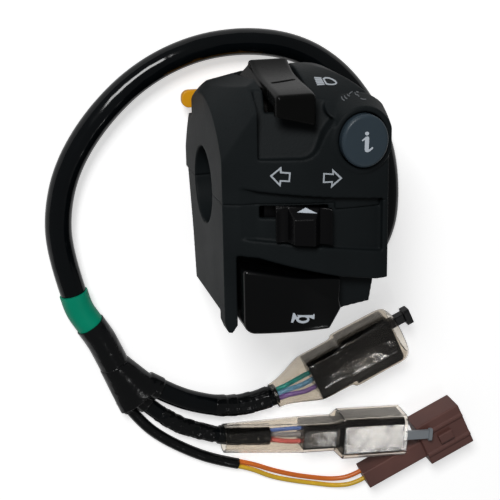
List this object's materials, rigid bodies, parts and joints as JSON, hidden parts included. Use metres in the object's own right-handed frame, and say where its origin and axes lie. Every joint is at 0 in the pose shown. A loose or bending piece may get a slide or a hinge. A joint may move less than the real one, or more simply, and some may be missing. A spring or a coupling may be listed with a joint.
{
  "type": "handlebar switch cluster",
  "caption": "Left handlebar switch housing in two clamped halves, with beam lever, info button, turn slider, horn button, passing trigger and a sleeved harness with plugs.",
  "frame": {"origin": "on the axis of the handlebar bore, at the middle of the housing's length", "axes": "+X along the handlebar towards its middle, +Y up as mounted, +Z towards the rider; the part lies on its back, at Z -24.5 mm"},
  "size_m": [0.1393, 0.1575, 0.0598],
  "materials": {
    "case": "fine grain",
    "gloss_black": "gloss",
    "knob_black": "satin",
    "button_grey": "satin",
    "trigger_orange": "gloss",
    "steel": "zinc plated",
    "contact": "plain",
    "insulator": "plain",
    "sleeve": "glossy",
    "tape": "satin",
    "green_tape": "satin",
    "clear_sheath": "clear",
    "plug_black": "satin",
    "plug_brown": "satin",
    "tab_grey": "satin",
    "wire_teal": "satin",
    "wire_sky": "satin",
    "wire_violet": "satin",
    "wire_blue": "satin",
    "wire_grey": "satin",
    "wire_red": "satin",
    "wire_orange": "satin",
    "wire_yellow": "satin"
  },
  "bodies": {
    "housing": {"upper_case": "case", "lower_case": "case", "case_screws": "steel", "beam_base": "insulator", "beam_base_screws": "steel", "beam_pin": "steel", "info_spring": "steel", "info_switch": "plug_black", "info_plate": "insulator", "info_plate_screws": "steel", "turn_base": "insulator", "turn_contacts": "contact", "horn_spring": "steel", "horn_base": "insulator", "horn_contact": "contact", "horn_base_screws": "steel", "trigger_pin": "steel", "trigger_spring": "steel", "pass_switch": "plug_black", "cable_gland": "sleeve", "trunk_sleeve": "sleeve", "green_band": "green_tape", "trunk_tape": "tape", "breakout": "tape", "branch_a": "sleeve", "branch_b": "sleeve", "branch_c": "sleeve", "wire_a_1": "wire_teal", "wire_a_2": "wire_sky", "wire_a_3": "wire_violet", "wire_b_1": "wire_blue", "wire_b_2": "wire_grey", "wire_b_3": "wire_red", "wire_c_yellow": "wire_yellow", "wire_c_orange": "wire_orange", "conn_a_body": "plug_black", "conn_a_sheath": "clear_sheath", "conn_a_latch": "plug_black", "conn_b_body": "plug_black", "conn_b_sheath": "clear_sheath", "conn_b_tab": "tab_grey", "conn_c_body": "plug_brown", "conn_c_lock": "plug_brown"},
    "beam_lever": {"beam_lever": "gloss_black", "beam_detent_ball": "steel", "beam_detent_spring": "steel"},
    "info_button": {"info_button": "button_grey"},
    "turn_slider": {"turn_slider": "knob_black", "turn_detent_ball": "steel", "turn_detent_spring": "steel", "knob_spring": "steel"},
    "turn_knob": {"turn_knob": "knob_black"},
    "horn_button": {"horn_button": "gloss_black", "horn_clip": "steel"},
    "pass_trigger": {"pass_trigger": "trigger_orange"}
  },
  "joints": [
    {"name": "beam_rock", "type": "hinge", "parent": "housing", "child": "beam_lever", "pos_m": [-0.0035, 0.0236, 0.0135], "axis": [1, 0, 0], "range_deg": [-12, 0]},
    {"name": "info_press", "type": "slide", "parent": "housing", "child": "info_button", "axis": [0, 0, -1], "range_m": [0, 0.0018], "stiffness_N_per_m": 400, "springref_m": -0.004, "deforming": ["info_spring"]},
    {"name": "turn_slide", "type": "slide", "parent": "housing", "child": "turn_slider", "axis": [0.9833, 0, 0.1822], "range_m": [-0.004, 0.004], "stiffness_N_per_m": 150},
    {"name": "turn_cancel", "type": "slide", "parent": "turn_slider", "child": "turn_knob", "axis": [0.1822, 0, -0.9833], "range_m": [0, 0.001], "stiffness_N_per_m": 400, "springref_m": -0.003, "deforming": ["knob_spring"]},
    {"name": "horn_press", "type": "slide", "parent": "housing", "child": "horn_button", "axis": [0, 0, -1], "range_m": [0, 0.002], "stiffness_N_per_m": 400, "springref_m": -0.004, "deforming": ["horn_spring"]},
    {"name": "trigger_pull", "type": "hinge", "parent": "housing", "child": "pass_trigger", "pos_m": [-0.0005, 0, -0.0146], "axis": [0, 1, 0], "range_deg": [0, 6.5], "stiffness_Nm_per_rad": 0.3, "springref_deg": -8.59}
  ]
}
